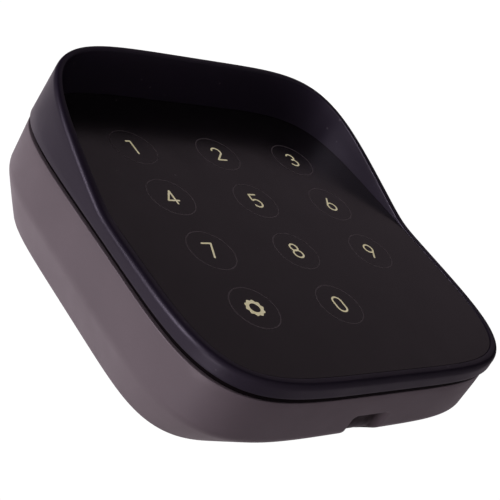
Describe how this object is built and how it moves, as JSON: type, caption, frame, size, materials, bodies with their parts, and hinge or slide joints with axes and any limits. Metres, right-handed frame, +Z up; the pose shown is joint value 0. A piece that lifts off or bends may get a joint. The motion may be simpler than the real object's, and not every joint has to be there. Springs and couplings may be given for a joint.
{
  "type": "wall keypad",
  "caption": "Square battery keypad for a door lock: touch keys under a slanted rain hood, a two-shell casing and a wall plate that it swings off.",
  "frame": {"origin": "middle of the wall plate's back face, on the wall", "axes": "+Y into the wall, -Y out of the touch face, +Z up, +X to the right as seen by someone at the keypad"},
  "size_m": [0.0728, 0.0287, 0.0726],
  "materials": {
    "casing": "satin moulded plastic, very fine texture",
    "rim": "satin blue-black moulded plastic",
    "glass": "near-black satin gloss panel, yellow digits",
    "adhesive": "black foam adhesive",
    "diffuser": "milky moulded plastic",
    "led": "yellow phosphor in a white package",
    "board": "green solder mask",
    "component_black": "black moulded component",
    "tinned_metal": "tinned or nickelled sheet and wire",
    "ceramic": "fired ceramic block with metal ends",
    "tray": "dark moulded plastic",
    "cell": "printed metal sleeve with a bare positive end",
    "gasket": "black silicone rubber",
    "button": "dark moulded plastic",
    "pairing": "pale moulded plastic",
    "steel": "zinc-plated or bare spring steel",
    "plate": "dark moulded plastic, fine texture"
  },
  "bodies": {
    "wall_plate": {"wall_plate": "plate", "catch_spring": "steel"},
    "keypad": {"rim_hood": "rim", "touch_panel": "glass", "panel_adhesive": "adhesive", "light_guide": "diffuser", "touch_board": "board", "main_board": "board", "board_connector": "component_black", "radio_shield": "tinned_metal", "chip_antenna": "ceramic", "buzzer": "component_black", "pairing_switch": "component_black", "battery_tray": "tray", "rear_casing": "casing", "seam_gasket": "gasket", "legend_led_1": "led", "legend_led_2": "led", "legend_led_3": "led", "legend_led_4": "led", "legend_led_5": "led", "legend_led_6": "led", "legend_led_7": "led", "legend_led_8": "led", "legend_led_9": "led", "legend_led_10": "led", "legend_led_11": "led", "battery_1": "cell", "battery_contact_1": "tinned_metal", "battery_spring_1": "tinned_metal", "case_screw_1": "steel", "tray_screw_1": "steel", "battery_2": "cell", "battery_contact_2": "tinned_metal", "battery_spring_2": "tinned_metal", "case_screw_2": "steel", "tray_screw_2": "steel", "battery_3": "cell", "battery_contact_3": "tinned_metal", "battery_spring_3": "tinned_metal", "case_screw_3": "steel", "tray_screw_3": "steel", "battery_4": "cell", "battery_contact_4": "tinned_metal", "battery_spring_4": "tinned_metal", "case_screw_4": "steel", "tray_screw_4": "steel"},
    "release_button": {"release_button": "button"},
    "pairing_button": {"pairing_button": "pairing"}
  },
  "joints": [
    {"name": "keypad_tilt", "type": "hinge", "parent": "wall_plate", "child": "keypad", "pos_m": [0, -0.003, 0.0281], "axis": [-1, 0, 0], "range_deg": [0, 30], "deforming": ["catch_spring"]},
    {"name": "release_press", "type": "slide", "parent": "keypad", "child": "release_button", "axis": [0, 0, 1], "range_m": [0, 0.0015], "stiffness_N_per_m": 500, "deforming": ["catch_spring"]},
    {"name": "pairing_press", "type": "slide", "parent": "keypad", "child": "pairing_button", "axis": [0, -1, 0], "range_m": [0, 0.0004], "stiffness_N_per_m": 1500}
  ]
}
